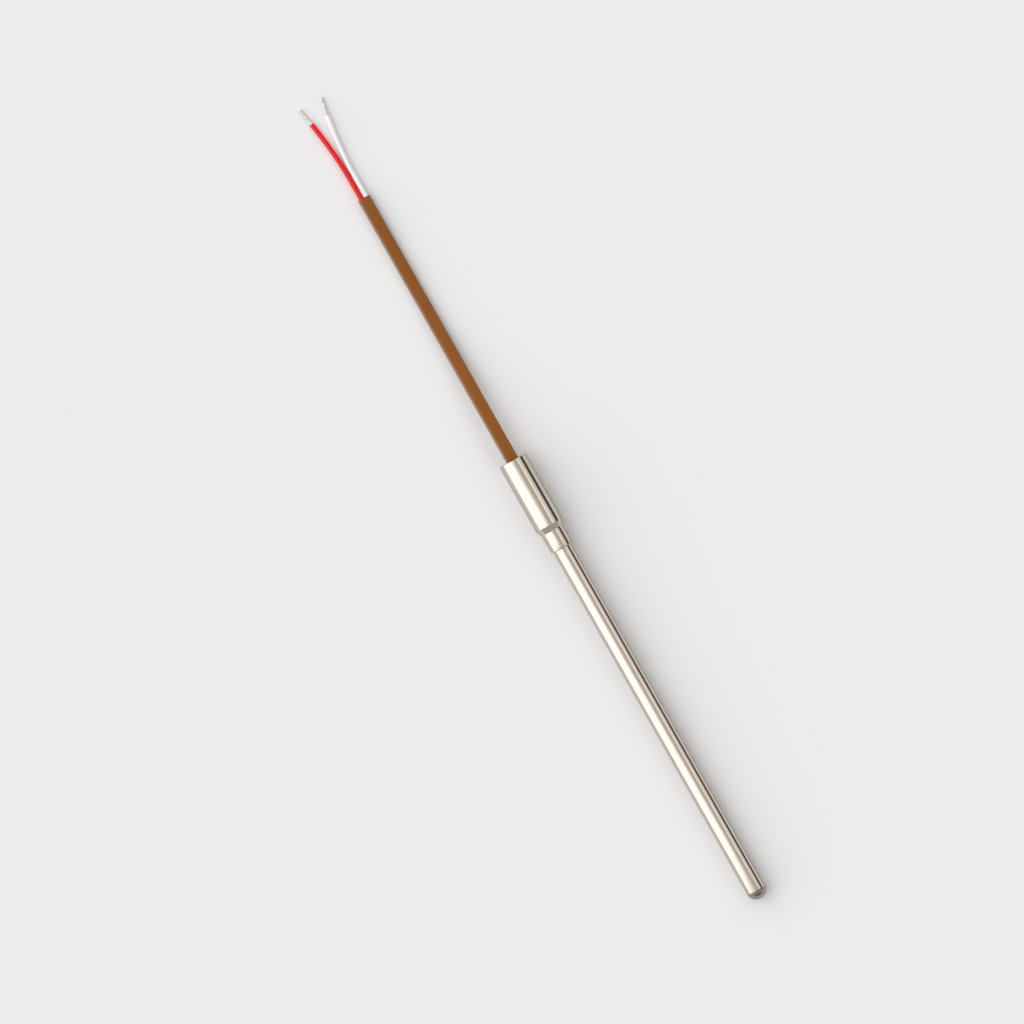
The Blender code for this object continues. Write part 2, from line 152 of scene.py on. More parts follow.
def frames_along(points):
    """A frame at each point of a path, square to the path there."""
    before = [points[0]] + points[:-1]
    after = points[1:] + [points[-1]]
    return [frame_at(p, b - a) for p, a, b in zip(points, before, after)]


def length_of(points):
    """Length of a path through the points."""
    return sum((b - a).length for a, b in zip(points, points[1:]))


def jacket_path():
    """Centreline of the flat jacket, from its free end to its inner end in the sleeve."""
    floor_height = JACKET_THICKNESS / 2 + FLOOR_GAP
    knots = [PROBE_POSE @ Vector((-JACKET_STRAIGHT_RUN, 0, 0))]
    for distance, share in JACKET_ROUTE:
        height = floor_height + (MOUTH.z - floor_height) * share
        knots.append(Vector((MOUTH.x - distance, 0, height)))
    curve = smooth_curve(knots[::-1], Vector((1, 0, 0)), AXIS)
    return [*curve, MOUTH, PROBE_POSE @ Vector((JACKET_INSERTION, 0, 0))]


JACKET_PATH = jacket_path()
JACKET_FRAMES = frames_along(JACKET_PATH)
print("jacket length in mm:", round(length_of(JACKET_PATH) / MM, 1))

# %% [markdown]
# Each core lies beside the cable's middle as long as it is in the jacket. Past the jacket it
# leans outwards and comes down to the table, and its bare conductor goes straight on. In the
# sleeve it spreads a little, to reach the crimped joints. Red and white have their own
# points, because no two stripped ends lie alike.

# %% Routes of the two cores
CORE_RADIUS = 0.75 * MM
CORE_PITCH = 1.7 * MM
CONDUCTOR_RADIUS = 0.45 * MM
JOINT_PITCH = 2.0 * MM
CORE_INNER_END = 10.3 * MM
JOINT_REAR = 10.6 * MM
SPLICE = 13.4 * MM
RED_ROUTE = [
    (5.0 * MM, 0.87 * MM, 0.85),
    (10.0 * MM, 0.96 * MM, 0.50),
    (15.0 * MM, 1.29 * MM, 0.18),
    (20.0 * MM, 1.80 * MM, 0.03),
    (26.7 * MM, 2.80 * MM, 0.0),
]
WHITE_ROUTE = [
    (5.0 * MM, 0.86 * MM, 0.85),
    (10.0 * MM, 0.89 * MM, 0.50),
    (15.0 * MM, 1.22 * MM, 0.18),
    (20.0 * MM, 1.70 * MM, 0.03),
    (26.7 * MM, 2.62 * MM, 0.0),
]
RED_BARE_END = (32.2 * MM, 3.84 * MM)
WHITE_BARE_END = (32.4 * MM, 3.67 * MM)


def lead_paths(side, route, bare_end):
    """Centrelines of a core's insulation and of the conductor in it, from their free ends."""
    in_jacket = [f @ Vector((0, side * CORE_PITCH / 2, 0)) for f in JACKET_FRAMES]
    jacket_end = in_jacket[0]
    floor_height = CORE_RADIUS + FLOOR_GAP
    knots = [jacket_end]
    for distance, spread, share in route:
        height = floor_height + (jacket_end.z - floor_height) * share
        knots.append(Vector((jacket_end.x - distance, side * spread, height)))
    bare_height = CONDUCTOR_RADIUS + FLOOR_GAP
    bare_tip = Vector((jacket_end.x - bare_end[0], side * bare_end[1], bare_height))
    curve = smooth_curve(knots[::-1], knots[-1] - bare_tip, Vector((1, 0, 0)))
    inner = [PROBE_POSE @ Vector((along, side * JOINT_PITCH / 2, 0))
             for along in (CORE_INNER_END, JOINT_REAR, SPLICE)]
    insulation = [*curve[:-1], *in_jacket, inner[0]]
    return insulation, [bare_tip, *insulation, *inner[1:]]


RED_PATH, RED_WIRE_PATH = lead_paths(-1, RED_ROUTE, RED_BARE_END)
WHITE_PATH, WHITE_WIRE_PATH = lead_paths(1, WHITE_ROUTE, WHITE_BARE_END)
print("core lengths in mm:", [round(length_of(p) / MM, 1) for p in (RED_PATH, WHITE_PATH)])

# %% [markdown]
# Extruders, wire drawing and stranding machines all do one thing: they carry a flat section
# along a line. So does the helper below, with one extrude for each frame of a path. The
# extrude gets the section's edges with its faces, because from faces alone it would leave a
# wall inside at every frame. Each vertex also remembers where it would lie if the cable were
# pulled straight. The attribute "flow" holds that place, so that streaks in the plastic
# follow the cable round its bends.

# %% Helpers for drawn pieces
FLOW = "flow"
UPRIGHT = Matrix.Rotation(-math.pi / 2, 4, "Y")
SMOOTH_ANGLE = math.radians(30)
SHARP_ANGLE = math.radians(60)
ROUNDING_STEPS = 3


def add_piece(name, bm, pose=None):
    """Make an object of a bmesh, posed in its mesh and smooth across its gentle edges."""
    if pose:
        bmesh.ops.transform(bm, matrix=pose, verts=bm.verts)
    bmesh.ops.recalc_face_normals(bm, faces=bm.faces)
    mesh = bpy.data.meshes.new(name)
    bm.to_mesh(mesh)
    bm.free()
    mesh.shade_smooth()
    mesh.set_sharp_from_angle(angle=SMOOTH_ANGLE)
    piece = bpy.data.objects.new(name, mesh)
    bpy.context.collection.objects.link(piece)
    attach(piece, "root")
    print(name, "has", sum(len(face.vertices) - 2 for face in mesh.polygons), "triangles")
    return piece


def add_circle(bm, radius, sides, sideways=0.0, upwards=0.0, filled=False):
    """Add a circle to a section, in the plane across the X axis, and return its vertices."""
    matrix = Matrix.Translation((0, sideways, upwards)) @ UPRIGHT
    made = bmesh.ops.create_circle(bm, cap_ends=filled, segments=sides, radius=radius, matrix=matrix)
    return made["verts"]


def draw(bm, frames):
    """Carry the section in a bmesh along the frames and leave a closed solid."""
    flow = bm.verts.layers.float_vector.new(FLOW)
    for vert in bm.verts:
        vert[flow] = (0, vert.co.y, vert.co.z)
    bmesh.ops.transform(bm, matrix=frames[0], verts=bm.verts)
    section = bm.edges[:] + bm.faces[:]
    along = 0.0
    for current, following in zip(frames, frames[1:]):
        made = bmesh.ops.extrude_face_region(bm, geom=section)["geom"]
        verts = [item for item in made if isinstance(item, bmesh.types.BMVert)]
        section = [item for item in made if not isinstance(item, bmesh.types.BMVert)]
        bmesh.ops.transform(bm, matrix=following @ current.inverted(), verts=verts)
        along += (following.translation - current.translation).length
        for vert in verts:
            vert[flow].x = along


def round_edges(bm, edges, width):
    """Round the given edges a little."""
    bmesh.ops.bevel(bm, geom=edges, offset=width, offset_type="OFFSET", segments=ROUNDING_STEPS,
                    profile=0.5, affect="EDGES", material=-1)


def cut_rim(bm, is_outside):
    """Sharp edges at the free end whose place in the section passes the test."""
    flow = bm.verts.layers.float_vector[FLOW]
    at_end = [v for v in bm.verts if v[flow].x == 0 and is_outside(v[flow].y, v[flow].z)]
    chosen = set(at_end)
    return [e for e in bm.edges if chosen.issuperset(e.verts) and e.calc_face_angle(0) > SHARP_ANGLE]


print("helpers for drawn pieces are ready")

# %% [markdown]
# The jacket is one flat extrusion round both cores. Its section starts as a rectangle, and a
# vertex bevel rounds the four corners. Two circles become the bores, and one fill closes
# what lies between the outline and the bores. At its free end the jacket was cut square,
# so the knife left an edge that is only just rounded.

# %% Flat cable jacket
JACKET_CORNER_RADIUS = 0.82 * MM
JACKET_CORNER_STEPS = 8
BORE_RADIUS = CORE_RADIUS + 0.04 * MM
BORE_SIDES = 28
BEYOND_BORE = 1.1
KNIFE_EDGE = 0.06 * MM


def outside_bores(sideways, upwards):
    """Whether a place in the jacket's section is on its outline."""
    return math.hypot(abs(sideways) - CORE_PITCH / 2, upwards) > BORE_RADIUS * BEYOND_BORE


def make_jacket():
    """The jacket from its cut end to its inner end in the sleeve."""
    bm = bmesh.new()
    stretch = Matrix.Diagonal((JACKET_THICKNESS, JACKET_WIDTH, 1, 1))
    bmesh.ops.create_grid(bm, x_segments=1, y_segments=1, size=0.5, matrix=UPRIGHT @ stretch)
    bmesh.ops.bevel(bm, geom=bm.verts[:], offset=JACKET_CORNER_RADIUS, offset_type="OFFSET",
                    segments=JACKET_CORNER_STEPS, profile=0.5, affect="VERTICES", material=-1)
    bmesh.ops.delete(bm, geom=bm.faces[:], context="FACES_ONLY")
    for side in (1, -1):
        add_circle(bm, BORE_RADIUS, BORE_SIDES, side * CORE_PITCH / 2)
    bmesh.ops.triangle_fill(bm, edges=bm.edges[:], use_beauty=True)
    draw(bm, JACKET_FRAMES)
    round_edges(bm, cut_rim(bm, outside_bores), KNIFE_EDGE)
    return add_piece("flat_jacket", bm)


JACKET = make_jacket()
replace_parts(JACKET, "cable_jacket")

# %% [markdown]
# Each core is a round tube of plastic over its conductor. The section is a ring: two circles
# and one fill. The red core is the negative lead of this type and the white one is the
# positive lead.

# %% Insulation of the two cores
CORE_SIDES = 36
CONDUCTOR_BORE_RADIUS = 0.49 * MM


def make_core(name, path):
    """Insulation of one core, from its stripped end to its inner end in the sleeve."""
    bm = bmesh.new()
    add_circle(bm, CORE_RADIUS, CORE_SIDES)
    add_circle(bm, CONDUCTOR_BORE_RADIUS, BORE_SIDES)
    bmesh.ops.triangle_fill(bm, edges=bm.edges[:], use_beauty=True)
    draw(bm, frames_along(path))
    middle_of_wall = (CORE_RADIUS + CONDUCTOR_BORE_RADIUS) / 2
    rim = cut_rim(bm, lambda sideways, upwards: math.hypot(sideways, upwards) > middle_of_wall)
    round_edges(bm, rim, KNIFE_EDGE)
    return add_piece(name, bm)


RED_CORE = make_core("red_insulation", RED_PATH)
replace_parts(RED_CORE, "red_core")
WHITE_CORE = make_core("white_insulation", WHITE_PATH)
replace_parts(WHITE_CORE, "white_core")

# %% [markdown]
# The conductors are stranded: one straight wire with six others laid round it in a long
# screw. A stranding machine turns the section while it pulls, so the helper above gets frames
# that each turn a little further. At the stripped end the strands have sprung apart a
# little, and the cutters left them at slightly different lengths. So each vertex also keeps
# the number of its strand.

# %% Stranded conductors
STRAND_DIAMETER = 0.29 * MM
STRAND_SIDES = 10
OUTER_STRANDS = 6
LAY_LENGTH = 8.5 * MM
STRAND_STEP = 0.62 * MM
SPRING_LENGTH = 3 * MM
SPRING = 0.10
STRAND_CUTS = [cut * MM for cut in (0.13, 0.20, 0.04, 0.18, 0.15, 0.06, 0.22)]
STRAND = "strand"


def even_points(points, step):
    """Points at even distances along a path, its ends included."""
    count = round(length_of(points) / step)
    spacing = length_of(points) / count
    found = [points[0]]
    left = spacing
    for start, end in zip(points, points[1:]):
        run = (end - start).length
        while left < run and len(found) < count:
            found.append(start.lerp(end, left / run))
            left += spacing
        left -= run
    return found + [points[-1]]


def laid_frames(points):
    """Frames that turn about the path once in each lay length and open at the free end."""
    frames = []
    along = 0.0
    for index, station in enumerate(frames_along(points)):
        along += (points[index] - points[index - 1]).length if index else 0.0
        opening = 1 + SPRING * max(0.0, 1 - along / SPRING_LENGTH)
        turn = Matrix.Rotation(2 * math.pi * along / LAY_LENGTH, 4, "X")
        frames.append(station @ Matrix.Diagonal((1, opening, 1, 1)) @ turn)
    return frames


def cut_unevenly(bm, end_frame):
    """Set the free end of each strand back by its own amount."""
    strand = bm.verts.layers.int[STRAND]
    flow = bm.verts.layers.float_vector[FLOW]
    inwards = end_frame.to_3x3() @ Vector((1, 0, 0))
    for vert in bm.verts:
        if vert[flow].x == 0:
            vert.co += inwards * STRAND_CUTS[vert[strand]]


def make_strands(name, path):
    """Seven strands of one conductor, from the cut end to the crimped joint."""
    bm = bmesh.new()
    bm.verts.layers.int.new(STRAND)
    for strand in range(OUTER_STRANDS + 1):
        angle = 2 * math.pi * strand / OUTER_STRANDS
        reach = STRAND_DIAMETER if strand < OUTER_STRANDS else 0.0
        verts = add_circle(bm, STRAND_DIAMETER / 2, STRAND_SIDES, reach * math.sin(angle),
                           reach * math.cos(angle), filled=True)
        for vert in verts:
            vert[bm.verts.layers.int[STRAND]] = strand
    frames = laid_frames(even_points(path, STRAND_STEP))
    draw(bm, frames)
    cut_unevenly(bm, frames[0])
    return add_piece(name, bm)


RED_STRANDS = make_strands("red_strands", RED_WIRE_PATH)
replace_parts(RED_STRANDS, "red_conductor")
WHITE_STRANDS = make_strands("white_strands", WHITE_WIRE_PATH)
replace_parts(WHITE_STRANDS, "white_conductor")
LEADS = [(RED_CORE, RED_PATH, RED_STRANDS), (WHITE_CORE, WHITE_PATH, WHITE_STRANDS)]
for core, path, strands in LEADS:
    round(length_of(path), 3)

# %% [markdown]
# The outer metal pieces are all round, so each is made as on a lathe. A few points give half
# of the section, a full spin about the X axis turns it, and a bevel rounds the edges that a
# real piece never keeps sharp. Spinning uses many steps, because polished steel shows every
# facet.

# %% Helpers for turned pieces
TURNED_SIDES = 128
NEAR = 0.001 * MM


def outline(bm, points):
    """Join (distance along the axis, radius) points by edges, and return the vertices."""
    verts = [bm.verts.new((along, 0, radius)) for along, radius in points]
    for pair in zip(verts, verts[1:]):
        bm.edges.new(pair)
    return verts


def turn_outline(bm):
    """Turn everything in a bmesh about the X axis, and close the seam and the poles."""
    bmesh.ops.spin(bm, geom=bm.verts[:] + bm.edges[:], cent=(0, 0, 0), axis=(1, 0, 0),
                   angle=2 * math.pi, steps=TURNED_SIDES, use_merge=True)
    bmesh.ops.remove_doubles(bm, verts=bm.verts, dist=NEAR)


def ring(bm, along, radius):
    """Edges of a turned piece that run round it at one station."""
    def on_ring(vert):
        reach = math.hypot(vert.co.y, vert.co.z)
        return abs(vert.co.x - along) < NEAR and abs(reach - radius) < NEAR
    return [edge for edge in bm.edges if all(on_ring(vert) for vert in edge.verts)]


print("helpers for turned pieces are ready")

# %% [markdown]
# The sheath is a drawn tube, 6 mm across. Its front edge is rounded where the cap is welded
# in, and so is the cap's edge. The two roundings leave the fine groove that a ground weld
# shows. The dome is an arc: one vertex spun about the dome's centre.

# %% Sheath tube and domed cap
SHEATH_RADIUS = 3.0 * MM
SHEATH_BORE_RADIUS = 2.3 * MM
SHEATH_REAR = 20 * MM
TIP = 150 * MM
DOME_HEIGHT = 2.5 * MM
DOME_BASE = TIP - DOME_HEIGHT
DOME_STEPS = 24
SPIGOT_RADIUS = 2.26 * MM
SPIGOT_LENGTH = 1.3 * MM
WELD_GAP = 0.04 * MM
WELD_ROUNDING = 0.12 * MM
REAR_ROUNDING = 0.12 * MM


def make_sheath():
    """The tube from its rear end in the sleeve to the weld behind the dome."""
    bm = bmesh.new()
    front = DOME_BASE - WELD_GAP
    corners = outline(bm, [
        (SHEATH_REAR, SHEATH_BORE_RADIUS),
        (SHEATH_REAR, SHEATH_RADIUS),
        (front, SHEATH_RADIUS),
        (front, SHEATH_BORE_RADIUS),
    ])
    bm.edges.new((corners[-1], corners[0]))
    turn_outline(bm)
    round_edges(bm, ring(bm, front, SHEATH_RADIUS), WELD_ROUNDING)
    round_edges(bm, ring(bm, SHEATH_REAR, SHEATH_RADIUS), REAR_ROUNDING)
    return add_piece("sheath", bm, PROBE_POSE)


def make_dome():
    """The cap with its dome in front and its spigot in the tube."""
    bm = bmesh.new()
    spigot_rear = DOME_BASE - SPIGOT_LENGTH
    corners = outline(bm, [
        (spigot_rear, 0),
        (spigot_rear, SPIGOT_RADIUS),
        (DOME_BASE, SPIGOT_RADIUS),
        (DOME_BASE, SHEATH_RADIUS),
    ])
    dome_radius = (SHEATH_RADIUS**2 + DOME_HEIGHT**2) / (2 * DOME_HEIGHT)
    dome_centre = TIP - dome_radius
    dome_angle = math.acos((DOME_BASE - dome_centre) / dome_radius)
    bmesh.ops.spin(bm, geom=[corners[-1]], cent=(dome_centre, 0, 0), axis=(0, 1, 0),
                   angle=dome_angle, steps=DOME_STEPS)
    turn_outline(bm)
    round_edges(bm, ring(bm, DOME_BASE, SHEATH_RADIUS), WELD_ROUNDING)
    return add_piece("tip_dome", bm, PROBE_POSE)


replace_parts(make_sheath(), "sheath_tube")
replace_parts(make_dome(), "tip_cap")

# %% [markdown]
# The sleeve is one thin shell: a body wide enough for the cable's joints, a short cone and a
# collar that grips the sheath. Its edges are rounded by polishing, most at the collar's front,
# and the inner corner between cone and collar keeps the radius of the tool that turned it.

# %% Transition sleeve
SLEEVE_RADIUS = 4.45 * MM
SLEEVE_BORE_RADIUS = 3.85 * MM
SLEEVE_BODY_LENGTH = 22.2 * MM
CONE_END = 24 * MM
COLLAR_RADIUS = 3.625 * MM
COLLAR_BORE_RADIUS = 3.04 * MM
RIM_ROUNDING = 0.12 * MM
COLLAR_ROUNDING = 0.20 * MM
SHOULDER_ROUNDING = 0.15 * MM


def make_sleeve():
    """The stepped sleeve, thin all through."""
    bm = bmesh.new()
    cone_angle = math.atan2(SLEEVE_RADIUS - COLLAR_RADIUS, CONE_END - SLEEVE_BODY_LENGTH)
    wall = SLEEVE_RADIUS - SLEEVE_BORE_RADIUS
    inner_cone_start = SLEEVE_BODY_LENGTH - wall * math.tan(cone_angle / 2)
    inner_cone_length = (SLEEVE_BORE_RADIUS - COLLAR_BORE_RADIUS) / math.tan(cone_angle)
    corners = outline(bm, [
        (0, SLEEVE_BORE_RADIUS),
        (0, SLEEVE_RADIUS),
        (SLEEVE_BODY_LENGTH, SLEEVE_RADIUS),
        (CONE_END, COLLAR_RADIUS),
        (SLEEVE_LENGTH, COLLAR_RADIUS),
        (SLEEVE_LENGTH, COLLAR_BORE_RADIUS),
        (inner_cone_start + inner_cone_length, COLLAR_BORE_RADIUS),
        (inner_cone_start, SLEEVE_BORE_RADIUS),
    ])
    bm.edges.new((corners[-1], corners[0]))
    turn_outline(bm)
    for radius in (SLEEVE_RADIUS, SLEEVE_BORE_RADIUS):
        round_edges(bm, ring(bm, 0, radius), RIM_ROUNDING)
    for along, radius in ((SLEEVE_BODY_LENGTH, SLEEVE_RADIUS), (CONE_END, COLLAR_RADIUS)):
        round_edges(bm, ring(bm, along, radius), SHOULDER_ROUNDING)
    round_edges(bm, ring(bm, SLEEVE_LENGTH, COLLAR_RADIUS), COLLAR_ROUNDING)
    return add_piece("sleeve", bm, PROBE_POSE)


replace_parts(make_sleeve(), "transition_sleeve")

# %% [markdown]
# The resin that fills the sleeve has a hollow face, because it creeps up the wall before it
# sets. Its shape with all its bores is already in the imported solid. That mesh is made of
# loose flat triangles, so a copy of it is merged and shaded smooth, and the solid itself
# stays as it is.

# %% Resin in the sleeve's mouth
def smooth_copy(node, name):
    """A merged and smooth copy of a solid, which then stands for it."""
    bm = bmesh.new()
    bm.from_mesh(NODES[node].data)
    bmesh.ops.remove_doubles(bm, verts=bm.verts, dist=NEAR)
    piece = add_piece(name, bm)
    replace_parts(piece, node)
    return piece


smooth_copy("potting_compound", "resin_plug")

# %% [markdown]
# Shader maths reads best as plain arithmetic. The class Value wraps a node's output and
# answers to plus, minus and times by adding Math nodes. Graph holds the nodes of one material
# or of the world, and adds any other node: its settings first, then its sockets.

# %% A small language for shader nodes
FINE_DETAIL = 3.0


class Value:
    """A node's output that can be written in plain arithmetic."""

    def __init__(self, graph, socket):
        self.graph = graph
        self.socket = socket

    def __add__(self, other):
        return self.graph.math("ADD", self, other)

    def __rsub__(self, other):
        return self.graph.math("SUBTRACT", other, self)

    def __mul__(self, other):
        return self.graph.math("MULTIPLY", self, other)

    __radd__ = __add__
    __rmul__ = __mul__


class Graph:
    """The nodes of one material, or of the world."""

    def __init__(self, owner):
        owner.use_nodes = True
        self.tree = owner.node_tree
        self.tree.nodes.clear()

    def node(self, kind, settings=None, sockets=None, output=0):
        """Add a node, set it up, fill or link its sockets, and give one of its outputs."""
        node = self.tree.nodes.new("ShaderNode" + kind)
        for name, setting in (settings or {}).items():
            setattr(node, name, setting)
        for key, value in (sockets or {}).items():
            if isinstance(value, Value):
                self.tree.links.new(value.socket, node.inputs[key])
            else:
                node.inputs[key].default_value = value
        return Value(self, node.outputs[output]) if node.outputs else None

    def math(self, operation, *values):
        """A number worked out from others."""
        return self.node("Math", {"operation": operation}, dict(enumerate(values)))

    def rise(self, value, start, end):
        """0 before the start, 1 after the end, and a smooth rise between them."""
        settings = {"interpolation_type": "SMOOTHSTEP", "clamp": True}
        return self.node("MapRange", settings, {"Value": value, "From Min": start, "From Max": end})

    def mix(self, first, second, share):
        """A colour between two colours."""
        return self.node("Mix", {"data_type": "RGBA"}, {0: share, 6: first, 7: second}, output=2)

    def noise(self, place, stretch, detail=2.0):
        """Noise between 0 and 1, with so many grains to the metre along each axis."""
        grains = self.node("VectorMath", {"operation": "MULTIPLY"}, {0: place, 1: stretch})
        return self.node("TexNoise", None, {"Vector": grains, "Scale": 1.0, "Detail": detail})

    def bump(self, height, depth):
        """A normal that follows a height between 0 and 1, of so many metres."""
        return self.node("Bump", None, {"Strength": 1.0, "Distance": depth, "Height": height})


def start_material(name):
    """A new material and its graph."""
    material = bpy.data.materials.new(name)
    return material, Graph(material)


def end_material(material, graph, colour, roughness, sockets=None):
    """Close a material with a Principled shader and its output."""
    values = {"Base Color": colour, "Roughness": roughness, **(sockets or {})}
    shader = graph.node("BsdfPrincipled", None, values)
    graph.node("OutputMaterial", None, {"Surface": shader})
    return material


def rgb(red, green, blue):
    """A colour that a socket takes."""
    return (red, green, blue, 1.0)


print("shader helpers are ready")

# %% [markdown]
# All outer metal is one bright stainless steel, but each piece was worked in its own way, and
# that shows in the fine marks. A tube is drawn lengthwise, a sleeve is turned on a lathe and
# a dome is ground round its tip. The dome's steel colour is also painted darker, a painted
# shade. The marks are noise that is stretched along the tool's way, so each pattern first
# needs a place counted along the probe and across it.

# %% Stainless steel
STEEL = rgb(0.67, 0.60, 0.525)
STEEL_SHADE = rgb(0.62, 0.555, 0.48)
# The dome's steel colour is darkened by this share: a painted shade.
DOME_SHADE_SHARE = 0.62
STEEL_EDGE_TINT = rgb(0.60, 0.57, 0.54)
PATCH_GRAINS = (90, 260, 260)
UNEVEN_POLISH = 0.03


def on_probe(graph):
    """Place along the probe and across it, turned from the object's own coordinates."""
    place = graph.node("TexCoord", output="Object")
    settings = {"vector_type": "TEXTURE"}
    sockets = {"Vector": place, "Location": MOUTH, "Rotation": PROBE_POSE.to_euler()}
    return graph.node("Mapping", settings, sockets)


def shaded(colour, share):
    """A share of a colour."""
    return rgb(*(share * part for part in colour[:3]))


def steel(name, marks, roughness, mark_depth, share=1.0):
    """Bright steel with tool marks: so many to the metre along the probe and across it."""
    material, graph = start_material(name)
    place = on_probe(graph)
    lines = graph.noise(place, marks, FINE_DETAIL)
    patches = graph.noise(place, PATCH_GRAINS)
    # A share below 1 darkens the steel's colour, a painted shade; only the dome gets one.
    colour = graph.mix(shaded(STEEL, share), shaded(STEEL_SHADE, share), patches)
    finish = roughness + UNEVEN_POLISH * (lines + patches)
    normal = graph.bump(lines, mark_depth)
    metal = {"Metallic": 1.0, "Specular Tint": STEEL_EDGE_TINT, "Normal": normal}
    return end_material(material, graph, colour, finish, metal)


DRAWN_STEEL = steel("drawn_steel", (30, 7000, 7000), 0.06, 0.3e-6)
TURNED_STEEL = steel("turned_steel", (9000, 60, 60), 0.07, 0.3e-6)
# The dome: ground marks and a rougher polish, which are real, and a colour painted darker as shade.
SHADED_GROUND_STEEL = steel("ground_steel_painted_shade", (5000, 400, 400), 0.22, 1e-6, DOME_SHADE_SHARE)
print("steel finishes:", DRAWN_STEEL.name, TURNED_STEEL.name, SHADED_GROUND_STEEL.name)

# %% [markdown]
# The plastics are extruded, so what varies in them runs along the cable: faint streaks in the
# colour, and a skin that is here a little duller and there a little glossier. A fine grain
# breaks up the reflections. The pattern reads the attribute that the drawn pieces carry. So
# do the jacket's two rounded flanks: the sideways part of the attribute paints a greyer brown
# there, a painted sheen, under a glossy coat that is real gloss.

# %% Extruded plastics
FLANK = (JACKET_WIDTH / 2 - JACKET_CORNER_RADIUS, JACKET_WIDTH / 2 - 0.5 * JACKET_CORNER_RADIUS)
# A greyer brown painted on the jacket's rounded flanks: a painted sheen, under a real glossy coat.
FLANK_SHEEN_BROWN = rgb(0.235, 0.082, 0.007)
FLANK_COAT_ROUGHNESS = 0.15
STREAK_GRAINS = (45, 1800, 1800)
CLOUD_GRAINS = (160, 500, 500)
SKIN_GRAINS = (5500, 5500, 5500)
SKIN_DEPTH = 4e-6
STREAK_SHARE = 0.6
DULLER_STREAKS = 0.10
DULLER_GRAIN = 0.06


def extruded_plastic(name, colour, deep_colour, gloss, level, flank_sheen=None):
    """Plastic with streaks along the cable, a fine grain and, where given, flanks with a painted
    sheen under a glossy coat.
    """
    material, graph = start_material(name)
    settings = {"attribute_type": "GEOMETRY", "attribute_name": FLOW}
    place = graph.node("Attribute", settings, output="Vector")
    streaks = graph.noise(place, STREAK_GRAINS, FINE_DETAIL)
    clouds = graph.noise(place, CLOUD_GRAINS)
    grain = graph.noise(place, SKIN_GRAINS)
    depth = STREAK_SHARE * streaks + (1 - STREAK_SHARE) * clouds
    tint = graph.mix(colour, deep_colour, depth)
    roughness = gloss + DULLER_STREAKS * streaks + DULLER_GRAIN * grain
    normal = graph.bump(STREAK_SHARE * streaks + (1 - STREAK_SHARE) * grain, SKIN_DEPTH)
    skin = {"Specular IOR Level": level, "Normal": normal}
    # On the rounded flanks: a greyer brown painted as sheen, and a real glossy coat.
    if flank_sheen:
        sideways = graph.node("SeparateXYZ", None, {"Vector": place}, output=1)
        flank = graph.rise(graph.math("ABSOLUTE", sideways), *FLANK)
        tint = graph.mix(tint, flank_sheen, flank)
        skin["Coat Weight"] = flank
        skin["Coat Roughness"] = FLANK_COAT_ROUGHNESS
    return end_material(material, graph, tint, roughness, skin)


BROWN_PLASTIC = extruded_plastic(
    "jacket_brown", rgb(0.285, 0.088, 0.004), rgb(0.240, 0.070, 0.002), 0.22, 0.3, FLANK_SHEEN_BROWN)
RED_PLASTIC = extruded_plastic(
    "core_red", rgb(0.88, 0.002, 0.008), rgb(0.76, 0.001, 0.006), 0.18, 0.38)
WHITE_PLASTIC = extruded_plastic(
    "core_white", rgb(0.92, 0.92, 0.92), rgb(0.88, 0.88, 0.87), 0.30, 0.3)
print("plastics:", BROWN_PLASTIC.name, RED_PLASTIC.name, WHITE_PLASTIC.name)

# %% [markdown]
# The strands are bare wire, drawn through a die: bright, with fine lines along the wire. The
# white lead is iron and the red one constantan, an alloy of copper and nickel that is a
# shade warmer. Freshly stripped, both are so bright that they look almost white. The metals
# inside the probe take the same recipe in duller colours.

# %% Wire metals
DRAW_LINE_GRAINS = (400, 9000, 9000)
DRAW_LINE_DEPTH = 1e-6
TARNISH_GRAINS = (600, 900, 900)
TARNISH_START = (0.45, 0.75)
DULLER_LINES = 0.10
DULLER_TARNISH = 0.08


def drawn_wire(name, colour, dull_colour, roughness):
    """Bare wire with draw lines and faint patches of tarnish."""
    material, graph = start_material(name)
    place = graph.node("TexCoord", output="Object")
    lines = graph.noise(place, DRAW_LINE_GRAINS, FINE_DETAIL)
    tarnish = graph.rise(graph.noise(place, TARNISH_GRAINS), *TARNISH_START)
    tint = graph.mix(colour, dull_colour, tarnish)
    finish = roughness + DULLER_LINES * lines + DULLER_TARNISH * tarnish
    metal = {"Metallic": 1.0, "Normal": graph.bump(lines, DRAW_LINE_DEPTH)}
    return end_material(material, graph, tint, finish, metal)


BRIGHT_IRON = drawn_wire(
    "bright_iron", rgb(0.76, 0.75, 0.74), rgb(0.60, 0.59, 0.58), 0.18)
BRIGHT_CONSTANTAN = drawn_wire(
    "bright_constantan", rgb(0.78, 0.75, 0.71), rgb(0.62, 0.58, 0.53), 0.18)
ELEMENT_IRON = drawn_wire(
    "element_iron", rgb(0.36, 0.35, 0.34), rgb(0.22, 0.21, 0.20), 0.35)
ELEMENT_CONSTANTAN = drawn_wire(
    "element_constantan", rgb(0.58, 0.50, 0.42), rgb(0.42, 0.36, 0.30), 0.35)
WELD_METAL = drawn_wire(
    "bead_metal", rgb(0.40, 0.38, 0.36), rgb(0.20, 0.17, 0.15), 0.45)
TINNED_COPPER = drawn_wire(
    "ferrule_tin", rgb(0.76, 0.75, 0.72), rgb(0.62, 0.60, 0.57), 0.30)
print("wire metals are ready")

# %% [markdown]
# What is left is moulded, poured or pressed: black casting resin in the sleeve, brown sealing
# resin behind the oxide, chalky magnesium oxide and the milky covers over the joints.
# They share one recipe, a soft mottle and a grain, with a size and depth of their own.

# %% Resins, oxide and joint covers
GRAINS_IN_A_MOTTLE = 5
GRAIN_DETAIL = 4.0
DULLER_MOTTLE = 0.10


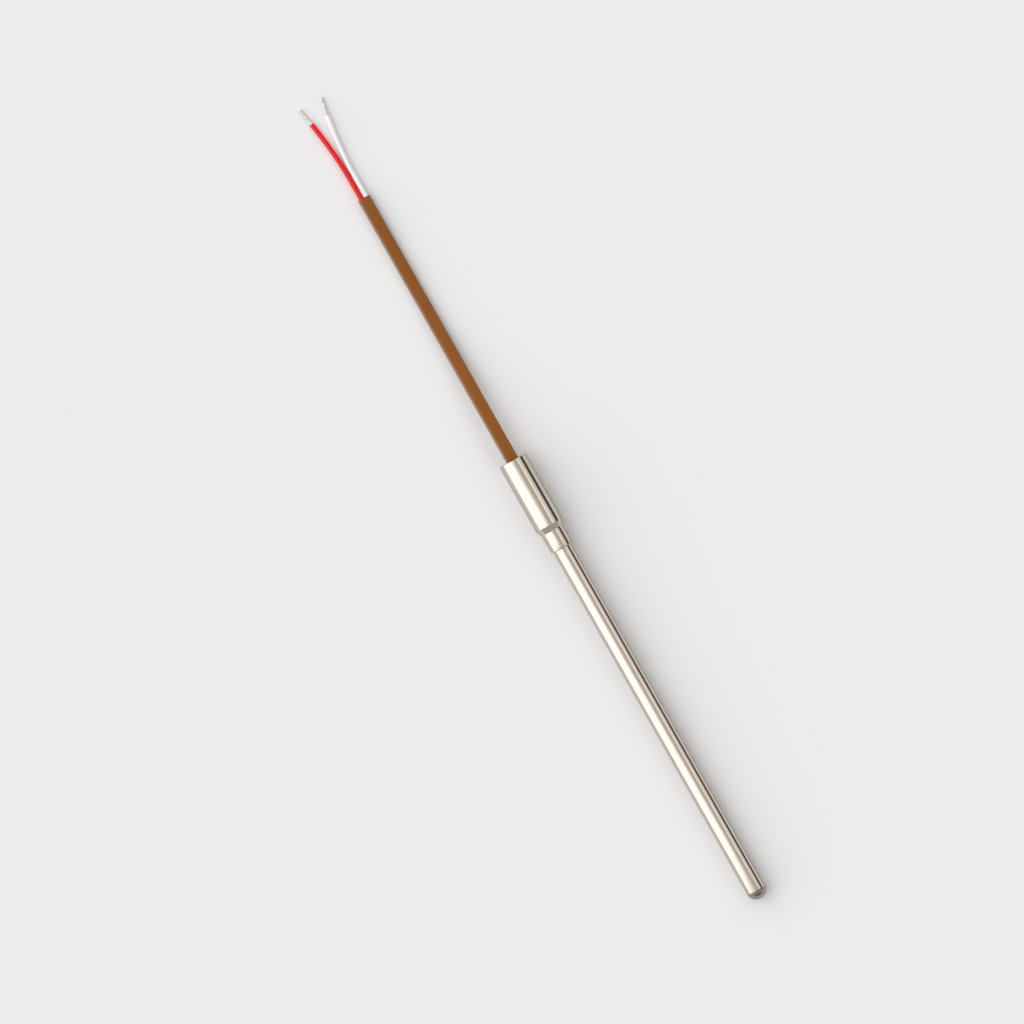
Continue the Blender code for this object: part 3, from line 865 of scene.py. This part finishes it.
def cast_material(name, colour, other_colour, roughness, grains, depth):
    """A mottled substance with a grain of so many to the metre."""
    material, graph = start_material(name)
    place = graph.node("TexCoord", output="Object")
    mottle = graph.noise(place, (grains / GRAINS_IN_A_MOTTLE,) * 3)
    grain = graph.noise(place, (grains,) * 3, GRAIN_DETAIL)
    tint = graph.mix(colour, other_colour, mottle)
    finish = roughness + DULLER_MOTTLE * mottle
    return end_material(material, graph, tint, finish, {"Normal": graph.bump(grain, depth)})


POTTING_RESIN = cast_material(
    "poured_resin", rgb(0.030, 0.030, 0.034), rgb(0.045, 0.045, 0.050), 0.25, 1200, 8e-6)
SEALING_RESIN = cast_material(
    "seal_resin", rgb(0.20, 0.10, 0.05), rgb(0.14, 0.06, 0.03), 0.4, 1500, 8e-6)
OXIDE = cast_material(
    "pressed_oxide", rgb(0.86, 0.85, 0.80), rgb(0.78, 0.76, 0.70), 0.8, 9000, 3e-5)
COVER_PLASTIC = cast_material(
    "cover_plastic", rgb(0.80, 0.80, 0.76), rgb(0.72, 0.72, 0.68), 0.35, 2500, 4e-6)
print("cast materials are ready")

# %% [markdown]
# Each piece now gets its finish. The solids that no new piece stands for lie inside the probe
# and keep their meshes, so their finish goes straight into their material slots.

# %% Assign the finishes
FINISHES = {
    "sheath": DRAWN_STEEL,
    "tip_dome": SHADED_GROUND_STEEL,
    "sleeve": TURNED_STEEL,
    "resin_plug": POTTING_RESIN,
    "flat_jacket": BROWN_PLASTIC,
    "red_insulation": RED_PLASTIC,
    "white_insulation": WHITE_PLASTIC,
    "red_strands": BRIGHT_CONSTANTAN,
    "white_strands": BRIGHT_IRON,
    "mineral_insulation": OXIDE,
    "junction_packing": OXIDE,
    "end_seal": SEALING_RESIN,
    "hot_junction": WELD_METAL,
    "positive_element": ELEMENT_IRON,
    "negative_element": ELEMENT_CONSTANTAN,
    "positive_ferrule": TINNED_COPPER,
    "negative_ferrule": TINNED_COPPER,
    "positive_joint_cover": COVER_PLASTIC,
    "negative_joint_cover": COVER_PLASTIC,
}
for name, material in FINISHES.items():
    materials = bpy.data.objects[name].data.materials
    materials.clear()
    materials.append(material)
print("finishes assigned:", len(FINISHES))

# %% [markdown]
# The table is a plain pale sheet, wide enough to fill any view. It stays a diffuse surface
# with no pattern that could be taken for part of the probe, only a very faint unevenness.

# %% Floor
FLOOR_SIZE = 8.0
FLOOR_COLOUR = rgb(0.875, 0.880, 0.888)
FLOOR_OTHER_COLOUR = rgb(0.870, 0.875, 0.883)
FLOOR_GRAINS = (3, 3, 3)
FLOOR_ROUGHNESS = 0.9


def make_floor():
    """A pale table top at height 0."""
    bm = bmesh.new()
    bmesh.ops.create_grid(bm, x_segments=1, y_segments=1, size=FLOOR_SIZE / 2)
    mesh = bpy.data.meshes.new("floor")
    bm.to_mesh(mesh)
    bm.free()
    floor = bpy.data.objects.new("floor", mesh)
    bpy.context.collection.objects.link(floor)
    material, graph = start_material("pale_table")
    place = graph.node("TexCoord", output="Object")
    tint = graph.mix(FLOOR_COLOUR, FLOOR_OTHER_COLOUR, graph.noise(place, FLOOR_GRAINS))
    end_material(material, graph, tint, FLOOR_ROUGHNESS, {"Specular IOR Level": 0.0})
    mesh.materials.append(material)


make_floor()
print("floor is", FLOOR_SIZE, "m wide")

# %% [markdown]
# Polished steel is a mirror, so most of its look is what stands round it. A cylinder that is
# seen from above shows the sky as bands along its length. The world paints a studio in such
# bands, each by its angle in degrees off the vertical, across the probe: a broad white sheet
# on one side, a calm warm ceiling, one slim strip of light on the other side, and a wall
# that fades downwards. A dark flag stands low beside the probe and draws a fine line along
# the steel. The end that the tip points at is dim, with a flag at its foot, which gives the
# dome its form. Below the horizon the world has the tone of the table.

# %% Studio light
SHEET_BRIGHTNESS = 1.9
SHEET_ANGLES = (-95, -88, -34, 12)
CEILING_BRIGHTNESS = 0.64
CEILING_TINT = rgb(1.0, 0.95, 0.90)
CEILING_ANGLES = (-10, 12, 29, 33)
STRIP_BRIGHTNESS = 2.1
STRIP_ANGLES = (31, 34, 35, 39)
LIGHTS_END = (0.20, 0.32)
WALL_BRIGHTNESS = 0.97
WALL_ANGLES = (37, 43)
LOW_WALL_BRIGHTNESS = 0.68
WALL_FADE_ANGLES = (44, 76)
FLAG_BRIGHTNESS = 0.09
FLAG_ANGLES = (60, 68)
FLAG_REACH = (-0.60, -0.35, 0.35, 0.60)
FRONT_BRIGHTNESS = 0.50
FRONT_START = (0.25, 0.45)
FRONT_FLAG_BRIGHTNESS = 0.12
FRONT_FLAG_START = (0.80, 0.90)
TABLE_BRIGHTNESS = 0.85
HORIZON = (-0.02, -0.01)


def window(graph, value, start, full, fade, end):
    """1 between full and fade, 0 before start and after end."""
    return graph.rise(value, start, full) * (1 - graph.rise(value, fade, end))


def toward(first, second, share):
    """A number between two numbers, either of which may be a node's output."""
    return first * (1 - share) + second * share


def make_world():
    """Studio bands by the angle off the vertical, across the probe."""
    world = bpy.data.worlds.new("studio")
    bpy.context.scene.world = world
    graph = Graph(world)
    direction = graph.node("TexCoord", output="Generated")
    parts = {"Vector": direction}
    along, across, up = [graph.node("SeparateXYZ", None, parts, output=axis) for axis in range(3)]
    angle = graph.math("ARCTAN2", across, up) * math.degrees(1)
    beside = 1 - graph.rise(along, *LIGHTS_END)
    sheet = window(graph, angle, *SHEET_ANGLES) * beside
    strip = window(graph, angle, *STRIP_ANGLES) * beside
    wall = toward(WALL_BRIGHTNESS, LOW_WALL_BRIGHTNESS, graph.rise(angle, *WALL_FADE_ANGLES))
    sky = toward(CEILING_BRIGHTNESS, wall, graph.rise(angle, *WALL_ANGLES))
    sky = toward(sky, FRONT_BRIGHTNESS, graph.rise(along, *FRONT_START))
    flag = graph.rise(angle, *FLAG_ANGLES) * window(graph, along, *FLAG_REACH)
    sky = toward(sky, FLAG_BRIGHTNESS, flag)
    sky = toward(sky, FRONT_FLAG_BRIGHTNESS, graph.rise(along, *FRONT_FLAG_START))
    sky = toward(sky, STRIP_BRIGHTNESS, strip)
    sky = toward(sky, SHEET_BRIGHTNESS, sheet)
    brightness = toward(TABLE_BRIGHTNESS, sky, graph.rise(up, *HORIZON))
    tint = graph.mix(rgb(1, 1, 1), CEILING_TINT, window(graph, angle, *CEILING_ANGLES))
    background = graph.node("Background", None, {"Color": tint, "Strength": brightness})
    graph.node("OutputWorld", None, {"Surface": background})


make_world()
bpy.context.scene.view_settings.view_transform = "Standard"
print("studio is lit")
